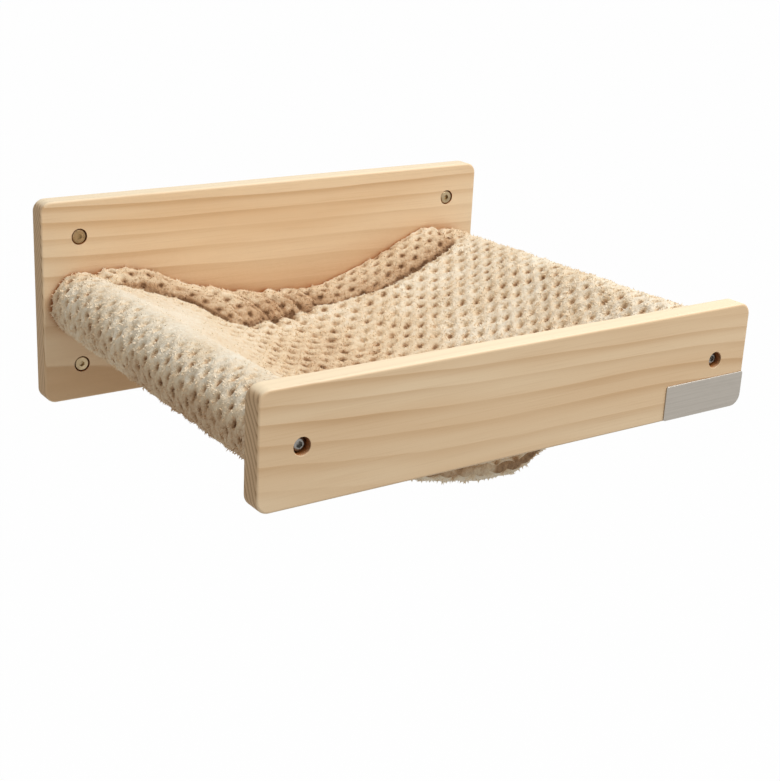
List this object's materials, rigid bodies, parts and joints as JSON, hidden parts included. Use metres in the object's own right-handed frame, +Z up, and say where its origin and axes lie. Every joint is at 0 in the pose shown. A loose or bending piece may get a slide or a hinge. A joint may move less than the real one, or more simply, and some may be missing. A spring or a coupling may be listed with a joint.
{
  "type": "wall-mounted cat hammock",
  "caption": "Wall-mounted cat hammock: a plush sling hung on round crossbars between a tall wall board and a low front board.",
  "frame": {"origin": "middle of the rear board's back face, on the wall", "axes": "+X to the right as seen from the room, +Y into the wall, +Z up"},
  "size_m": [0.4, 0.377, 0.156],
  "materials": {
    "pine": "sanded clear pine",
    "bar_wood": "turned hardwood",
    "plush": "dimpled plush pile",
    "plate_metal": "satin",
    "bolt_steel": "bright zinc",
    "screw_steel": "satin zinc",
    "insert_brass": "plain"
  },
  "bodies": {
    "root": {"front_board": "pine", "front_left_bolt": "bolt_steel", "front_left_insert": "insert_brass", "front_left_washer": "bolt_steel", "front_right_bolt": "bolt_steel", "front_right_insert": "insert_brass", "front_right_washer": "bolt_steel", "left_crossbar": "bar_wood", "lower_left_wall_screw": "screw_steel", "lower_right_wall_screw": "screw_steel", "plate": "plate_metal", "plush_sling": "plush", "rear_board": "pine", "rear_left_bolt": "bolt_steel", "rear_left_insert": "insert_brass", "rear_left_washer": "bolt_steel", "rear_right_bolt": "bolt_steel", "rear_right_insert": "insert_brass", "rear_right_washer": "bolt_steel", "right_crossbar": "bar_wood", "upper_left_wall_screw": "screw_steel", "upper_right_wall_screw": "screw_steel"}
  },
  "joints": []
}
